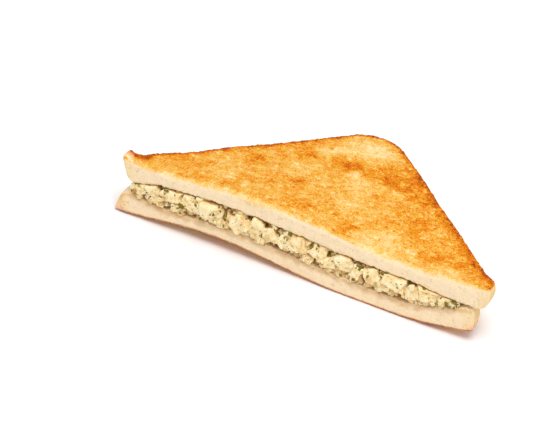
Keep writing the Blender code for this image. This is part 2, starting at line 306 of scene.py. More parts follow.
def toastedBread():
    # Toasted white sandwich bread: a sawn, fine-pored crumb that scatters light, and faces browned by
    # dry heat in soft patches and freckles, darkest on what stands proud. Rough all over, with no gloss.
    look, scales = breadLook, breadLook["scales"]
    material, add, place = newMaterial("toasted white bread", {
        "Specular IOR Level": 0.1, "Subsurface Weight": 0.12, "Subsurface Radius": (1.0, 0.6, 0.3),
        "Subsurface Scale": 1.2 * mm})
    browned, browning, freckled, relief, soakedAndShaded = (
        add("Attribute", output="Fac", attribute_name=name)
        for name in ("browned", "browning", "freckled", "relief", "soakedAndShaded"))

    mottled = add("Math", {0: relief, 1: look["reliefBrowning"]}, operation="MULTIPLY")
    for size, detail, roughness, amount in look["mottling"]:
        cloud = add("TexNoise", {
            "Vector": place, "Scale": 1 / size, "Detail": detail, "Roughness": roughness})
        cloud = add("Math", {0: cloud, 1: 0.5}, operation="SUBTRACT")
        mottled = add("Math", {0: cloud, 1: amount, 2: mottled}, operation="MULTIPLY_ADD")
    for i, (size, start, full, amount) in enumerate(look["flecks"]):
        shifted = add("Mapping", {"Vector": place, "Location": (17 * i + 5, 3, 0)})
        fleck = add("TexNoise", {"Vector": shifted, "Scale": 1 / size, "Roughness": 0.6})
        fleck = add("MapRange", {
            "Value": fleck, "From Min": start, "From Max": full, "To Max": amount},
            interpolation_type="SMOOTHSTEP")
        mottled = add("Math", {0: mottled, 1: fleck}, operation="ADD")
    level = add("Math", {0: mottled, 1: freckled, 2: browning}, operation="MULTIPLY_ADD")
    toast = add("ValToRGB", {"Fac": level}, stops=look["toastStops"])
    hue = add("TexNoise", {"Vector": place, "Scale": scales["hue"]})
    least, most = look["hue"]
    hue = add("MapRange", {"Value": hue, "From Min": 0.3, "From Max": 0.7, "To Min": least, "To Max": most})
    toast = add("HueSaturation", {"Hue": hue, "Color": toast})

    # small bubbles, each in a cell of its own, and open only in places
    bent = add("TexNoise", {"Vector": place, "Scale": scales["poreBend"], "Detail": 1.0}, output="Color")
    bent = add("VectorMath", {0: bent, 1: [look["poreBend"]] * 3, 2: place}, operation="MULTIPLY_ADD")
    cells = add("TexVoronoi", {"Vector": bent, "Scale": 1 / look["poreSize"]})
    hole = add("MapRange", {"Value": cells, "From Min": 0.42, "From Max": 0.15})
    opened = add("TexNoise", {"Vector": place, "Scale": scales["openPores"]})
    opened = add("MapRange", {"Value": opened, "From Min": 0.4, "From Max": 0.65})
    hole = add("Math", {0: hole, 1: opened}, operation="MULTIPLY")
    # painted shade: whatever sinks in the relief and the open pores are coloured darker, as shade falls in
    # them
    poreShading = add("MapRange", {"Value": relief, "From Min": -0.1, "From Max": -0.5, "To Max": 0.7})
    poreShading = add("Math", {0: hole, 1: look["poreShare"], 2: poreShading}, operation="MULTIPLY_ADD", use_clamp=True)
    crumb = add("Mix", {
        0: poreShading, 6: linearColour(look["crumb"]), 7: linearColour(look["poreShade"])},
        output=2, data_type="RGBA")
    streaks = add("Mapping", {"Vector": place, "Scale": [1 / size for size in look["sawMarks"]]})
    for at, scale, (least, most) in ((place, scales["clouds"], look["clouds"]), (streaks, 1.0, look["sawn"])):
        cloudy = add("TexNoise", {"Vector": at, "Scale": scale, "Detail": 3.0})
        cloudy = add("MapRange", {
            "Value": cloudy, "From Min": 0.3, "From Max": 0.7, "To Min": least, "To Max": most})
        crumb = add("VectorMath", {0: crumb, "Scale": cloudy}, operation="SCALE")
    # sauce stain on the inner faces, and painted shadow in a band along the filling on the cut
    crumb = add("Mix", {0: soakedAndShaded, 6: crumb, 7: linearColour(look["soakedAndShaded"])}, output=2, data_type="RGBA")
    colour = add("Mix", {0: browned, 6: crumb, 7: toast}, output=2, data_type="RGBA")

    grit = add("TexNoise", {"Vector": place, "Scale": scales["grit"], "Detail": 3.0, "Roughness": 0.7})
    bump = add("Bump", {"Height": grit, "Strength": 0.35, "Distance": look["gritDepth"]})
    plain = add("Math", {0: 1.0, 1: browned}, operation="SUBTRACT", use_clamp=True)
    sunk = add("Math", {0: hole, 1: plain}, operation="MULTIPLY")
    bump = add("Bump", {"Height": sunk, "Strength": 0.5, "Distance": -look["poreDepth"], "Normal": bump})
    rough = add("MapRange", {
        "Value": browned, "To Min": look["roughness"][0], "To Max": look["roughness"][1]})
    return linkSurface(material, {"Base Color": colour, "Normal": bump, "Roughness": rough})


breadMaterial = toastedBread()
print("bread material ready")

breadAbove = surfaceOf(frame["nodes"]["top_slice"])
breadBelow = surfaceOf(frame["nodes"]["bottom_slice"])
insideBread = 0.8 * mm  # the room is measured this far behind the cut, past the slices' rounded edges


def roomAt(x, y):
    # the lowest and highest place for filling between the slices
    y = max(y, cutY + insideBread)
    up = breadAbove.ray_cast(Vector((x, y, -0.1)), Vector((0, 0, 1)))[0]
    down = breadBelow.ray_cast(Vector((x, y, 0.1)), Vector((0, 0, -1)))[0]
    if up is None or down is None:
        return None
    return down.z, up.z


sliceShape = {
    "voxel": 0.44 * mm,
    "quickVoxel": 0.9 * mm,
    "smoothing": 8,
    "flatTilt": (0.45, 0.8),  # how far a face looks up or down where it starts to count and does
    "cutTilt": (0.5, 0.85),  # the same towards the knife
    "cutDepth": (1.5 * mm, 3.0 * mm),  # how far behind the knife's plane the cut face counts
    "crustDepth": (0.5 * mm, 2.0 * mm),  # and where the crust starts
    "rimWidth": (0.5, 3.0),  # mm from the crust
    "innerKept": 0.1,  # of the faces is kept where a slice lies on the filling
    "innerMargin": (8.0, 4.0),  # mm, but not this near the crust and the cut, where it shows
    "lipReach": (1.5, 4.0),  # mm behind the cut
    "lipHeight": (0.3, 2.6),  # mm from the filling
    "lipWave": 0.6,  # mm
    # relief in mm: (group, texture, size, depth, which is below zero for what only sinks)
    "swells": (
        ("toastFace", "swell", 8.0, 0.35), ("cutFace", "swell", 5.0, 0.35),
        ("crustFace", "swell", 3.2, 0.5), ("rim", "swell", 2.1, 0.7),
    ),
    "pores": (
        ("toastFace", "grain", 0.9, 0.3), ("toastFace", "pits", 1.8, -0.3), ("rim", "grain", 0.9, 0.3),
        ("cutFace", "caves", 1.6, -0.25), ("cutFace", "cells", 0.9, -0.2), ("cutFace", "grain", 0.5, 0.24),
        ("innerFace", "caves", 1.6, -0.4), ("innerFace", "grain", 0.8, 0.3),
        ("crustFace", "grain", 1.0, 0.22),
    ),
}

sliceKinds = {
    "upper_toast": {
        "node": "top_slice", "facing": 1, "fade": (-2.2, 1.8), "toastTilt": (0.35, 0.8),
        # where the browning stops short of the cut or reaches past it: (x, reach, how far), in mm
        "fadeShifts": ((42, 14, 0.9), (23, 6, -1.8), (-18, 8, -4.3), (-61, 6, -1.8), (-71, 4, 2.5)),
        "baseBrowning": 0.47, "mostBrowning": 0.68, "cutPaling": 0.24, "paleCorner": (-1, 31, 14),
        "rimReach": 7.0, "rimBrowning": 0.76,
        "lineReach": (1.0, 3.2), "lineBrowning": 0.9, "lineShare": (0.95, 0.7),
        # soft patches of deeper or paler browning: (x, y, reach, how much), in mm
        "patches": (
            (-17, 6, 4, 0.24), (-3, 10, 5.5, 0.26), (4, 9.5, 5, 0.18), (12, 9.5, 5.5, 0.22),
            (20, 9, 6, 0.24), (31, 5, 5, 0.16), (27, -30, 7, -0.16), (40, -32, 6, -0.16),
            (55, -33, 6, -0.16), (4, -31, 6, -0.08), (0, 25, 8, -0.3), (7, 23, 5, -0.14),
            (-8, 17, 4, -0.16), (-14, 12, 2.6, -0.26), (-10, 9, 2, -0.2),
            (3.5, 4.6, 2.4, -0.42), (6, -1, 9, -0.14), (-14, -5, 6, -0.12), (12, -16, 7, -0.12),
            (35, -12, 7, 0.14), (46, -26, 5, 0.24), (16, -25, 5, 0.14), (-12, -12, 3, 0.22),
            (-32, -6, 4.5, 0.18), (-50, -26, 14, 0.06), (16, -4, 2.2, 0.2), (60, -24, 5, 0.16),
            (29, -27, 5, -0.1), (-1, -27, 3, 0.16), (-38, -20, 6, -0.08),
        ),
        # darker places on the crust and the cut: (x, y, z, reach, how much), in mm
        "spots": ((-73, -37, 14, 3.5, 0.36),),
        # a corner of crust stands up at the left end, pale, with a dip beside it, in mm
        "lobe": {"at": (-70.6, -33.8), "reach": 2.6, "flatness": 2.6, "rise": 1.5, "spread": 0.7,
                 "dip": (-65.6, -29.0, 2.1, -1.1), "paleReach": 3.4, "paling": -0.12, "unsinged": 0.8},
    },
    "lower_toast": {
        "node": "bottom_slice", "facing": -1, "fade": (-2.5, -0.8), "toastTilt": (0.02, 0.4),
        "fadeShifts": (),
        "baseBrowning": 0.45, "mostBrowning": 0.68, "cutPaling": -0.42, "paleCorner": (20, 10, 10),
        "rimReach": 6.0, "rimBrowning": 0.7,
        "lineReach": (0.5, 2.4), "lineBrowning": 0.95, "lineShare": (0.5, 0.5),
        "patches": ((-20, -5, 16, 0.15), (30, -15, 12, -0.1), (5, 20, 11, 0.12), (-44, -22, 9, -0.1)),
        "spots": ((-74, -37, 8, 4, 0.4), (-71, -37, 4, 2.5, 0.3), (69.0, -37, 2.0, 3.2, 0.8),
                  (69, -36, 6, 2.0, 0.3)),
    },
}

# lengths in mm, and shares as (left, right)
faceLook = {
    "patchBend": (5, 2.5),  # size and reach of what bends the patches
    "rimTurn": (-5, 20),  # x from the left rim to the right one, which browned further in
    "rimShare": (0.55, 0.9),
    "rimRagged": 0.4,
    "lineRagged": 1.2,
    "cornerPaling": 0.75,
    "cutFade": (-0.6, 3.4),  # behind the cut
}

# lengths in mm
crustLook = {
    "level": 0.4,
    "clouds": (11, 0.12),  # size, and how much they change the level
    "freckled": 0.5,  # how much the crust is speckled beside the toasted faces
    "singed": 0.48,  # more browning at the toasted rim
    "singedReach": 4.0,
    "endPale": 0.2,  # less of it at the blunt ends by the cut
    "endReach": (3, 13),
    "endCrumb": 0.35,  # and how far it is like crumb there
    "spotBrowning": 0.8,
    "cutTurn": (-30, 30),  # x from the cut's left to its right
    "rind": (0.2, 1.6),  # how the crust shows in the cut
    "rindBrowning": 0.26,
    "tint": (0.3, 6.0),  # and how it tints the crumb beside it
    "tintShare": (0.38, 0.42),
    "overEdge": (-0.4, 0.1),  # how far the upper face's browning runs over the edge onto the cut
    "heel": (0.3, 0.9),  # how high the toasted underside shows in the cut
    "heelDepth": (1.0, 2.2),
    "heelTilt": (0.2, 0.6),
    "heelShare": (0.45, 0.75),
    "heelBrowning": 0.98,
    # sauce in the crumb and painted shadow along the lower and the upper edge of the filling: (start, end,
    # how much)
    "soakAndShadow": {-1: (0.2, 2.8, 0.68), 1: (-0.2, 1.0, 0.55)},
    "smearSize": 3.5,
    "smearShare": 0.4,  # sauce on the sides that face the filling
}


def reliefTexture(kind, size):
    types = {"cells": "VORONOI", "caves": "DISTORTED_NOISE"}
    texture = bpy.data.textures.new(kind, types.get(kind, "CLOUDS"))
    texture.noise_scale = size * mm
    if kind == "grain":
        texture.noise_depth = 3
    # pits, caves and cells are white where the surface sinks: (place, brightness) twice
    ramps = {"pits": ((0.56, 0), (0.78, 1)), "caves": ((0.68, 0), (0.86, 1)), "cells": ((0.05, 1), (0.4, 0))}
    if kind in ramps:
        texture.use_color_ramp = True
        for element, (place, grey) in zip(texture.color_ramp.elements, ramps[kind]):
            element.position = place
            element.color = (grey, grey, grey, 1)
    return texture


def sliceFaces(piece, facing, toastTilt=sliceShape["flatTilt"]):
    # how much each point belongs to the toasted face, the cut, the crust and the side by the filling
    weights = {"toastFace": [], "cutFace": [], "crustFace": [], "innerFace": []}
    for vertex in piece.data.vertices:
        normal, behind = vertex.normal, vertex.co.y - cutY
        toast = softStep(*toastTilt, normal.z * facing)
        inner = softStep(*sliceShape["flatTilt"], -normal.z * facing)
        cut = softStep(*sliceShape["cutTilt"], -normal.y) * (1 - softStep(*sliceShape["cutDepth"], behind))
        crust = max(0.0, 1 - toast - inner - cut) * softStep(*sliceShape["crustDepth"], behind)
        for group, weight in zip(weights, (toast, cut, crust, inner)):
            weights[group].append(weight)
    return weights


def crustDistances(piece, crustWeights):
    # in mm, from each point to the nearest crust point seen from above
    wall = [v.co for v, weight in zip(piece.data.vertices, crustWeights) if weight > 0.9]
    tree = KDTree(len(wall))
    for i, place in enumerate(wall):
        tree.insert((place.x, place.y, 0), i)
    tree.balance()
    return [tree.find((v.co.x, v.co.y, 0))[2] / mm for v in piece.data.vertices]


def refineFaces(piece, facing):
    # fewer faces where the slice lies on the filling, and four for one on the cut
    fromCrust = crustDistances(piece, sliceFaces(piece, facing)["crustFace"])
    crustMargin, cutMargin = sliceShape["innerMargin"]

    def inner(polygon):
        deep = fromCrust[polygon.vertices[0]] > crustMargin and polygon.center.y > cutY + cutMargin * mm
        return deep and polygon.normal.z * facing < -0.8

    def cut(polygon):
        return polygon.normal.y < -0.6 and polygon.center.y < cutY + sliceShape["cutDepth"][0]

    for chosen in (inner, cut):
        selectOnly(piece)
        bpy.ops.object.mode_set(mode="EDIT")
        bpy.ops.mesh.select_mode(type="FACE")
        bpy.ops.mesh.select_all(action="DESELECT")
        bpy.ops.object.mode_set(mode="OBJECT")
        for polygon in piece.data.polygons:
            polygon.select = chosen(polygon)
        bpy.ops.object.mode_set(mode="EDIT")
        if chosen == inner:
            bpy.ops.mesh.decimate(ratio=sliceShape["innerKept"])
        else:
            bpy.ops.mesh.subdivide(number_cuts=1)
        bpy.ops.object.mode_set(mode="OBJECT")


def raiseLobe(piece, lobe, innerWeights, top):
    for vertex, inner in zip(piece.data.vertices, innerWeights):
        high = softStep(top - 8, top - 3, vertex.co.z / mm) * (1 - inner)
        x, y, _ = vertex.co / mm
        raised = min(1, lobe["flatness"] * nearness(x, y, *lobe["at"], lobe["reach"]))
        *dip, dipRise = lobe["dip"]
        lift = lobe["rise"] * raised + dipRise * nearness(x, y, *dip)
        vertex.co += Vector((-lobe["spread"] * raised, 0, lift)) * high * mm


def lipWave(place, facing):
    # the edge against the filling runs unevenly where the knife dragged it
    shape = sliceShape
    behind = (place.y - cutY) / mm
    room = roomAt(place.x, cutY) if behind < shape["lipReach"][1] else None
    if room is None:
        return 0.0
    far = abs(place.z - room[1 if facing > 0 else 0]) / mm
    near = (1 - softStep(*shape["lipReach"], behind)) * (1 - softStep(*shape["lipHeight"], far))
    x = place.x / mm
    wave = noise.noise(Vector((x / 4.5, facing, 4))) + 0.7 * noise.noise(Vector((x / 1.4, facing, 7)))
    return shape["lipWave"] * wave * near


def roughen(piece, weights):
    # gives each face its own relief, and returns how the points lay before the finest of it
    for group, values in weights.items():
        layer = piece.vertex_groups.new(name=group)
        for i, value in enumerate(values):
            if value > 0.001:
                layer.add([i], value, "REPLACE")
    for steps in (sliceShape["swells"], sliceShape["pores"]):
        smooth = pointsOf(piece)
        for group, texture, size, depth in steps:
            finishWith(piece, "DISPLACE", texture=reliefTexture(texture, size), texture_coords="LOCAL",
                       vertex_group=group, strength=depth * mm, mid_level=0.5 if depth > 0 else 0.0)
    piece.vertex_groups.clear()
    return smooth


def faceBrowning(kind, x, y, fromCrust):
    look = faceLook
    bendSize, bendReach = look["patchBend"]
    bent = Vector((x, y)) + bendReach * noise.noise_vector(Vector((x / bendSize, y / bendSize, 3))).xy
    level = kind["baseBrowning"]
    for patchX, patchY, reach, amount in kind["patches"]:
        level += amount * nearness(*bent, patchX, patchY, reach)
    level = min(level, kind["mostBrowning"])
    ragged = wobble(x, y, 4, 0) + 0.7 * wobble(x, y, 1.3, 5)
    right = softStep(*look["rimTurn"], x)
    rim = 1 - softStep(0, kind["rimReach"] * (1 + look["rimRagged"] * ragged), fromCrust)
    rim *= between(look["rimShare"], right) * (1 - look["cornerPaling"] * nearness(x, y, *kind["paleCorner"]))
    level += rim * (kind["rimBrowning"] - level)
    line = 1 - softStep(*kind["lineReach"], fromCrust - look["lineRagged"] * ragged)
    level += line * between(kind["lineShare"], right) * (kind["lineBrowning"] - level)
    level -= kind["cutPaling"] * (1 - softStep(*look["cutFade"], bent.y - cutY / mm))
    if "lobe" in kind:
        level += kind["lobe"]["paling"] * nearness(x, y, *kind["lobe"]["at"], kind["lobe"]["paleReach"])
    return level


def crustBrowning(kind, fromRim, behind, place):
    look = crustLook
    ragged = noise.noise(place / 5)
    cloudSize, cloudShare = look["clouds"]
    level = look["level"] + cloudShare * noise.noise(place / cloudSize)
    singed = look["singed"]
    if "lobe" in kind:
        lobe = kind["lobe"]
        singed *= 1 - lobe["unsinged"] * nearness(*place.xy, *lobe["at"], lobe["paleReach"])
    level += singed * (1 - softStep(0, look["singedReach"] * (1 + 0.5 * ragged), fromRim))
    return level - look["endPale"] * (1 - softStep(*look["endReach"], behind + 3 * ragged))


def fromOuterEdge(place, facing):
    # how far a point of the cut face is from the toasted edge above or below it, in mm
    bread = breadAbove if facing > 0 else breadBelow
    outer = bread.ray_cast(Vector((place.x * mm, cutY + 1.5 * mm, 0.1 * facing)), Vector((0, 0, -facing)))[0]
    return (outer.z / mm - place.z) * facing if outer else 9.0


def toastedShare(kind, place, toast, cut, behind, fromEdge):
    shift = sum(far * math.exp(-((place.x - x) / reach) ** 2) for x, reach, far in kind["fadeShifts"])
    toast *= softStep(*kind["fade"], behind - shift)
    if kind["facing"] < 0:
        return toast
    start, least = crustLook["overEdge"]
    return max(toast, cut * (1 - softStep(start, max(least, -shift), fromEdge)))


def heelAt(kind, share, behind, fromEdge, normal):
    # the toasted underside shows as a line along the foot of the cut
    look = crustLook
    if kind["facing"] > 0 or share <= 0.01 or behind >= look["heelDepth"][1]:
        return 0.0
    heel = min(1, share) * (1 - softStep(*look["heelDepth"], behind)) * softStep(*look["heelTilt"], -normal.y)
    return heel * (1 - softStep(*look["heel"], fromEdge))


def soakAndShadowBand(place, facing):
    # sauce soaked into the crumb and painted shadow, in one band beside the filling
    room = roomAt(place.x * mm, cutY)
    if room is None or room[1] - room[0] < 1 * mm:
        return 0.0
    far = room[0] / mm - place.z if facing < 0 else place.z - room[1] / mm
    start, end, share = crustLook["soakAndShadow"][facing]
    patchy = noise.noise(Vector((place.x / 2.5, place.z / 2, 9)))
    return share * (1 - softStep(start, end * (1 + 0.5 * patchy), far)) * (0.8 + 0.4 * patchy)


def cookedPoint(kind, place, weights, fromCrust, fromRim, normal):
    # what heat, knife and sauce did to a point of a slice, with the painted shadow along the filling, in mm
    look = crustLook
    toast, cut, crust, inner = weights
    wander = 0.9 * wobble(place.x, 0, 6, 1) + 0.5 * wobble(*place.xy, 1.6, 2)
    behind = place.y - cutY / mm
    fromEdge = fromOuterEdge(place, kind["facing"]) + 0.4 * wander if behind < 3 else 9.0
    toast = toastedShare(kind, place, toast, cut, behind + wander, fromEdge)
    spot = sum(amount * math.exp(-((place - Vector(at)).length / reach) ** 2)
               for *at, reach, amount in kind["spots"]) * (1 - toast)
    right = softStep(*look["cutTurn"], place.x)
    rind = cut * (1 - softStep(*look["rind"], fromCrust + 0.4 * wander))
    tint = cut * between(look["tintShare"], right) * (1 - softStep(*look["tint"], fromCrust + wander))
    blunt = look["endCrumb"] * (1 - softStep(*look["endReach"], behind))
    brown = min(1.0, toast + crust * (1 - blunt) + max(rind, tint, spot))

    faceShare = toast / max(0.001, toast + crust + rind + tint)
    wall = crustBrowning(kind, fromRim, behind, place) + look["rindBrowning"] * rind
    face = faceBrowning(kind, *place.xy, fromCrust)
    level = wall + (face - wall) * faceShare + look["spotBrowning"] * spot
    heel = heelAt(kind, cut + toast, behind, fromEdge, normal)
    smear = inner * look["smearShare"] * softStep(0.0, 0.6, wobble(*place.xy, look["smearSize"], 6))
    return {
        "browned": brown + (between(look["heelShare"], right) - brown) * heel,
        "browning": level + (look["heelBrowning"] - level) * heel,
        "freckled": between((look["freckled"], 1), faceShare),
        "soakedAndShaded": max(smear, cut * soakAndShadowBand(place, kind["facing"]) if cut > 0.01 else 0.0),
    }


def buildSlice(name, kind):
    shape = sliceShape
    piece = copyOfNode(kind["node"], name)
    facing = kind["facing"]
    voxel = shape["voxel"]
    finishWith(piece, "REMESH", mode="VOXEL", voxel_size=voxel, use_smooth_shade=True)
    finishWith(piece, "SMOOTH", factor=0.5, iterations=shape["smoothing"])
    refineFaces(piece, facing)
    outerZ = max(v.co.z * facing for v in piece.data.vertices) / mm
    weights = sliceFaces(piece, facing, kind["toastTilt"])
    pointWeights = list(zip(*weights.values()))
    fromCrust = crustDistances(piece, weights["crustFace"])
    weights["rim"] = [toast * (1 - softStep(*shape["rimWidth"], far))
                      for toast, far in zip(weights["toastFace"], fromCrust)]
    if "lobe" in kind:
        raiseLobe(piece, kind["lobe"], weights["innerFace"], outerZ)
    for vertex in piece.data.vertices:
        vertex.co.z += lipWave(vertex.co, facing) * mm
    smooth = roughen(piece, weights)

    keepRelief(piece, smooth)
    cooked = []
    for i, vertex in enumerate(piece.data.vertices):
        place = vertex.co / mm
        fromRim = outerZ - place.z * facing
        cooked.append(cookedPoint(kind, place, pointWeights[i], fromCrust[i], fromRim, smooth[i][1]))
        vertex.co.z = max(vertex.co.z, cadBounds[0][2])
    for value in cooked[0]:
        keepValues(piece, value, [point[value] for point in cooked])
    piece.data.materials.append(breadMaterial)
    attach(piece, "root")
    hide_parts(kind["node"])
    reportPiece(piece)


for sliceName, sliceKind in sliceKinds.items():
    buildSlice(sliceName, sliceKind)


fillingLook = {
    "sauce": "#dab066",
    "sauceInShade": "#a06d26",
    "sauceAndShade": "#bc8b40",
    "meat": "#fbdfa6",
    "meatPale": "#fff2cc",
    "meatShade": "#e3be80",
    "herb": "#9a8630",
    "herbDark": "#6a5a16",
    "pepper": "#3c270c",
    "pepperPale": "#6f5836",
    "scales": {"ripple": 1.4, "clouds": 0.55, "fibre": 1.9, "herb": 1.1, "pepper": 0.9},  # per mm
}


def mayonnaise():
    # Mayonnaise stained by herbs and meat juice: smooth and a little glossy, and dull brown in its hollows,
    # partly stain and partly painted shade.
    look = fillingLook
    material, add, place = newMaterial("herb mayonnaise", {
        "Roughness": 0.42, "Specular IOR Level": 0.1, "Subsurface Weight": 0.15,
        "Subsurface Scale": 1.0 * mm})
    relief = add("Attribute", output="Fac", attribute_name="relief")
    # painted shade: the lower the relief, the darker the sauce
    deep = add("MapRange", {"Value": relief, "From Min": 0.1, "From Max": -0.6})
    colour = add("Mix", {
        0: deep, 6: linearColour(look["sauce"]), 7: linearColour(look["sauceInShade"])},
        output=2, data_type="RGBA")
    ripple = add("TexNoise", {"Vector": place, "Scale": look["scales"]["ripple"], "Detail": 3.0})
    bump = add("Bump", {"Height": ripple, "Strength": 0.3, "Distance": 0.3 * mm})
    return linkSurface(material, {"Base Color": colour, "Normal": bump})


def poachedChicken():
    # Poached chicken breast, diced: pale fibrous meat under a thin coat of mayonnaise, so it shines softly.
    # Sauce gathers in the hollows between the pieces and browns them, and painted shade darkens them the
    # deeper they lie behind the cut.
    look = fillingLook
    material, add, place = newMaterial("poached chicken", {
        "Roughness": 0.45, "Specular IOR Level": 0.2, "Subsurface Weight": 0.15,
        "Subsurface Scale": 1.0 * mm})
    tone, relief, sauceAndShade = (add("Attribute", output="Fac", attribute_name=name)
                            for name in ("tone", "relief", "sauceAndShade"))
    cloudy = add("TexNoise", {"Vector": place, "Scale": look["scales"]["clouds"], "Detail": 3.0})
    fibre = add("TexNoise", {
        "Vector": place, "Scale": look["scales"]["fibre"], "Detail": 4.0, "Roughness": 0.62,
        "Distortion": 0.8})
    torn = add("Math", {0: fibre, 1: 0.5}, operation="SUBTRACT")
    mixed = tone
    # the relief gives fibre streaks and painted shade: the piece's grooves darker and what stands proud paler
    for pattern, amount in ((cloudy, 0.5), (relief, 0.7), (torn, 0.9)):
        mixed = add("Math", {0: pattern, 1: amount, 2: mixed}, operation="MULTIPLY_ADD")
    colour = add("ValToRGB", {"Fac": mixed}, stops=(
        (0.0, look["meatShade"]), (0.24, look["meat"]), (0.58, look["meatPale"])))
    # sauce colour and painted shade: the deeper behind the cut, the browner
    colour = add("Mix", {0: sauceAndShade, 6: colour, 7: linearColour(look["sauceAndShade"])}, output=2, data_type="RGBA")
    bump = add("Bump", {"Height": fibre, "Strength": 0.5, "Distance": 0.4 * mm})
    return linkSurface(material, {"Base Color": colour, "Normal": bump})


def choppedParsley():
    # Chopped parsley wetted by the sauce: thin limp leaf, dark olive and patchy, with hardly any shine.
    look = fillingLook
    material, add, place = newMaterial("chopped parsley", {"Roughness": 0.55, "Specular IOR Level": 0.05})
    patchy = add("TexNoise", {"Vector": place, "Scale": look["scales"]["herb"]})
    colour = add("ValToRGB", {"Fac": patchy}, stops=((0.35, look["herbDark"]), (0.65, look["herb"])))
    return linkSurface(material, {"Base Color": colour})


def groundPepper():
    # Ground black pepper: dry cracked corns, so matt brown-black grit with paler kernels.
    look = fillingLook
    material, add, place = newMaterial("ground black pepper", {"Roughness": 0.7})
    patchy = add("TexNoise", {"Vector": place, "Scale": look["scales"]["pepper"], "Detail": 1.0})
    colour = add("ValToRGB", {"Fac": patchy}, stops=((0.45, look["pepper"]), (0.7, look["pepperPale"])))
    return linkSurface(material, {"Base Color": colour})


coreShape = {
    "voxel": 0.6 * mm,
    "smoothing": 14,
    "lumps": ((3.0, 1.8), (1.0, 0.45)),  # (size, depth), in mm
    "shrink": 0.5 * mm,
    "frontShrink": 1.4 * mm,  # more of it at the cut, where the chicken stands in front
    "slack": 0.05 * mm,  # from the bread
}


def buildCore():
    shape = coreShape
    core = copyOfNode("chicken_filling", "mayonnaise_core")
    finishWith(core, "REMESH", mode="VOXEL", voxel_size=shape["voxel"], use_smooth_shade=True)
    finishWith(core, "SMOOTH", factor=0.5, iterations=shape["smoothing"])
    before = pointsOf(core)
    for size, depth in shape["lumps"]:
        finishWith(core, "DISPLACE", texture=reliefTexture("lumps", size), texture_coords="LOCAL",
                   strength=depth * mm, mid_level=0.6)
    keepRelief(core, before)
    for vertex, (_, normal) in zip(core.data.vertices, before):
        vertex.co -= normal * (shape["shrink"] + shape["frontShrink"] * max(0.0, -normal.y))
        room = roomAt(vertex.co.x, vertex.co.y)
        if room:
            vertex.co.z = min(max(vertex.co.z, room[0] + shape["slack"]), room[1] - shape["slack"])
    core.data.materials.append(mayonnaise())
    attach(core, "root")
    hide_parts("chicken_filling")
    reportPiece(core)
    return core


# what shows along the cut, from left to right: (x, z, width, height, turn in degrees, how proud), in mm
shownPieces = (
    (-66.3, 12.8, 2.2, 2.0, 0, 0.3), (-65.4, 13.8, 2.6, 2.2, 10, 0.3), (-64.6, 14.6, 3.0, 2.6, 30, 0.4),
    (-63.0, 12.6, 4.6, 3.6, 20, 0.6), (-58.3, 14.6, 5.0, 5.2, 40, 0.9), (-56.2, 10.9, 6.6, 4.4, -10, 0.6),
    (-50.3, 14.6, 8.6, 5.4, 8, 1.0), (-48.2, 10.6, 5.4, 4.0, 0, 0.3), (-42.8, 14.2, 7.4, 6.0, -15, 0.6),
    (-35.2, 14.6, 10.2, 8.0, 12, 1.1), (-29.5, 10.8, 5.0, 4.2, 30, 0.2), (-23.0, 13.9, 8.4, 8.2, 42, 1.2),
    (-16.2, 14.2, 6.2, 7.6, -20, 0.8), (-13.6, 9.6, 4.6, 4.0, 10, 0.3), (-10.2, 13.8, 5.6, 6.2, 30, 0.5),
    (-5.2, 13.0, 4.8, 5.8, -35, 0.7), (0.0, 13.8, 8.0, 8.0, 15, 1.2), (5.0, 9.4, 4.6, 3.8, 0, 0.3),
    (8.6, 14.2, 7.4, 6.8, -25, 0.8), (13.6, 11.2, 5.6, 5.0, 20, 0.5), (19.0, 13.6, 6.6, 6.4, 35, 0.9),
    (24.0, 11.2, 5.6, 6.0, -15, 0.6), (29.6, 12.6, 6.4, 6.4, 25, 0.8), (34.8, 10.4, 5.6, 4.6, 5, 0.4),
    (38.6, 12.9, 9.2, 7.4, -8, 1.2), (45.6, 11.2, 6.2, 5.2, 25, 0.5), (51.8, 13.0, 10.4, 6.2, -6, 1.1),
    (57.2, 13.4, 5.6, 4.0, 15, 0.4), (61.4, 14.0, 4.0, 2.6, 0, 0.2),
)

pieceShape = {
    "size": 7.0 * mm,  # of a modelled piece before it is copied
    # modelled for the front row, the others and torn bits: (how many, subdivision, first seed, faces kept)
    "masters": ((8, 3, 100, 1.0), (5, 2, 120, 1.0), (5, 1, 140, 0.3)),
    "cube": 0.86,  # of the size
    "pushed": 0.13,  # of the size, how far a corner was pushed about
    "farCorner": (0.8, 0.88),  # a corner further out than this is drawn in by that
    "crease": 0.4,  # how angular the pieces stay
    "relief": {"lumps": (2.6, 1.5, 1.0), "fibres": (0.7, 0.6, 3.0)},  # (size, depth, stretch), in mm
    "knifeShare": 0.4,  # how far what the knife met still stands out
    "slack": 0.06 * mm,  # from the bread
    "sauceAndShade": (0.4, 2.4, 0.85),  # sauce and painted shade darken the pieces from here to here behind the face, in mm: how much at most
    "leastHeight": 0.6,  # of the room is filled, whatever the headroom
    "seed": 11,
}

fullTurn = 6.3  # radians, just over one turn


